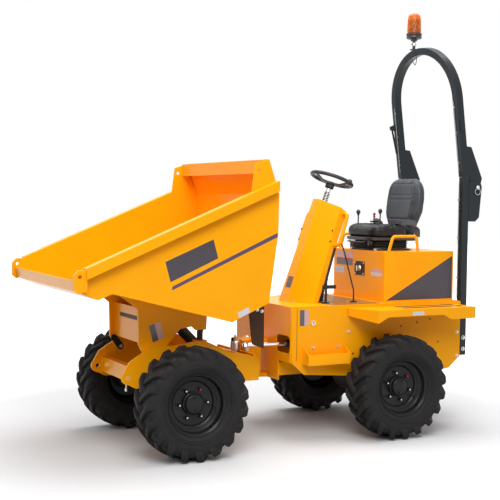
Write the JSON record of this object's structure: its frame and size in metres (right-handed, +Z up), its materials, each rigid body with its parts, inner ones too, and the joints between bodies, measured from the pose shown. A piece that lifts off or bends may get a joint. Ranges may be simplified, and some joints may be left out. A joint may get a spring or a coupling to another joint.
{
  "type": "site dumper",
  "caption": "Articulated front-tipping site dumper: wedge-shaped skip, console and steering wheel, seat on a tilting engine cover, folding roll hoop with beacon.",
  "frame": {"origin": "on the ground, midway along the machine's length and width", "axes": "+X forward towards the skip, +Y to the machine's left, +Z up"},
  "size_m": [3.515, 1.504, 3.3383],
  "materials": {
    "yellow_paint": "orange-yellow gloss paint",
    "dark_paint": "dark slate satin paint",
    "black_paint": "black satin paint",
    "cast": "dark cast housing",
    "engine": "dark painted castings",
    "tyre": "ribbed black rubber",
    "rim": "black gloss rim",
    "steel": "bare steel",
    "rod": "hard chromed rod",
    "plastic": "black moulding",
    "vinyl": "dark grey seat vinyl",
    "amber": "amber lens",
    "rubber": "black rubber"
  },
  "bodies": {
    "rear_chassis": {"rear_frame": "yellow_paint", "side_panel_left": "yellow_paint", "side_panel_right": "yellow_paint", "deck": "yellow_paint", "mudguard_left": "yellow_paint", "mudguard_right": "yellow_paint", "console": "yellow_paint", "console_handle_left": "yellow_paint", "console_handle_right": "yellow_paint", "steering_column": "steel", "brake_pedal": "black_paint", "engine_block": "engine", "rear_axle": "cast", "roll_post_left": "dark_paint", "roll_post_right": "dark_paint", "tow_hitch": "yellow_paint"},
    "engine_cover": {"engine_cover": "yellow_paint", "seat_base": "plastic", "seat_cushion": "vinyl", "seat_back": "vinyl", "seat_rail_left": "yellow_paint", "seat_rail_right": "yellow_paint", "control_levers": "plastic"},
    "roll_hoop": {"roll_hoop": "dark_paint", "beacon_base": "plastic", "beacon_lens": "amber"},
    "steering_wheel": {"steering_wheel": "plastic"},
    "pivot_block": {"pivot_block": "yellow_paint"},
    "front_chassis": {"front_frame": "yellow_paint", "rest_buffers": "rubber", "front_axle": "cast"},
    "skip": {"skip_shell": "yellow_paint", "skip_brackets": "yellow_paint", "skip_skirts": "black_paint"},
    "tip_ram_barrel": {"tip_ram_barrel": "black_paint"},
    "tip_ram_rod": {"tip_ram_rod": "rod"},
    "steer_ram_barrel": {"steer_ram_barrel": "black_paint"},
    "steer_ram_rod": {"steer_ram_rod": "rod"},
    "wheel_front_left": {"tyre_front_left": "tyre", "rim_front_left": "rim"},
    "wheel_front_right": {"tyre_front_right": "tyre", "rim_front_right": "rim"},
    "wheel_rear_left": {"tyre_rear_left": "tyre", "rim_rear_left": "rim"},
    "wheel_rear_right": {"tyre_rear_right": "tyre", "rim_rear_right": "rim"}
  },
  "joints": [
    {"name": "steer", "type": "hinge", "parent": "rear_chassis", "child": "pivot_block", "pos_m": [0.1425, 0, 0.58], "axis": [0, 0, 1], "range_deg": [-30, 30]},
    {"name": "oscillate", "type": "hinge", "parent": "pivot_block", "child": "front_chassis", "pos_m": [0.2275, 0, 0.58], "axis": [1, 0, 0], "range_deg": [-8, 8]},
    {"name": "tip", "type": "hinge", "parent": "front_chassis", "child": "skip", "pos_m": [1.0375, 0, 0.685], "axis": [0, 1, 0], "range_deg": [0, 65]},
    {"name": "tip_ram_swing", "type": "hinge", "parent": "front_chassis", "child": "tip_ram_barrel", "pos_m": [0.4175, 0, 0.545], "axis": [0, 1, 0], "range_deg": [-0.5, 8.5]},
    {"name": "tip_ram_slide", "type": "slide", "parent": "tip_ram_barrel", "child": "tip_ram_rod", "axis": [0.7071, 0, 0.7071], "range_m": [0, 0.37]},
    {"name": "steer_ram_swing", "type": "hinge", "parent": "rear_chassis", "child": "steer_ram_barrel", "pos_m": [-0.4625, 0.385, 0.716], "axis": [0, 0, 1], "range_deg": [-5, 5]},
    {"name": "steer_ram_slide", "type": "slide", "parent": "steer_ram_barrel", "child": "steer_ram_rod", "axis": [0.9872, -0.1598, 0], "range_m": [-0.152, 0.152]},
    {"name": "steering_wheel_turn", "type": "hinge", "parent": "rear_chassis", "child": "steering_wheel", "pos_m": [-0.5965, 0, 1.948], "axis": [-0.342, 0, 0.9397], "range_deg": [-540, 540]},
    {"name": "cover_tilt", "type": "hinge", "parent": "rear_chassis", "child": "engine_cover", "pos_m": [-1.5445, 0, 1.02], "axis": [0, -1, 0], "range_deg": [0, 50]},
    {"name": "hoop_fold", "type": "hinge", "parent": "rear_chassis", "child": "roll_hoop", "pos_m": [-1.6875, 0, 1.9], "axis": [0, -1, 0], "range_deg": [0, 100]},
    {"name": "wheel_front_left_spin", "type": "hinge", "parent": "front_chassis", "child": "wheel_front_left", "pos_m": [0.8735, 0.6, 0.39], "axis": [0, 1, 0], "continuous": true},
    {"name": "wheel_front_right_spin", "type": "hinge", "parent": "front_chassis", "child": "wheel_front_right", "pos_m": [0.8735, -0.6, 0.39], "axis": [0, 1, 0], "continuous": true},
    {"name": "wheel_rear_left_spin", "type": "hinge", "parent": "rear_chassis", "child": "wheel_rear_left", "pos_m": [-0.8225, 0.6, 0.39], "axis": [0, 1, 0], "continuous": true},
    {"name": "wheel_rear_right_spin", "type": "hinge", "parent": "rear_chassis", "child": "wheel_rear_right", "pos_m": [-0.8225, -0.6, 0.39], "axis": [0, 1, 0], "continuous": true}
  ],
  "couplings": [
    {"joint": "tip_ram_swing", "follows": "tip", "ratio": 0.125},
    {"joint": "tip_ram_slide", "follows": "tip", "m_per_rad": 0.318},
    {"joint": "steer_ram_swing", "follows": "steer", "ratio": 0.145},
    {"joint": "steer_ram_slide", "follows": "steer", "m_per_rad": -0.282}
  ]
}
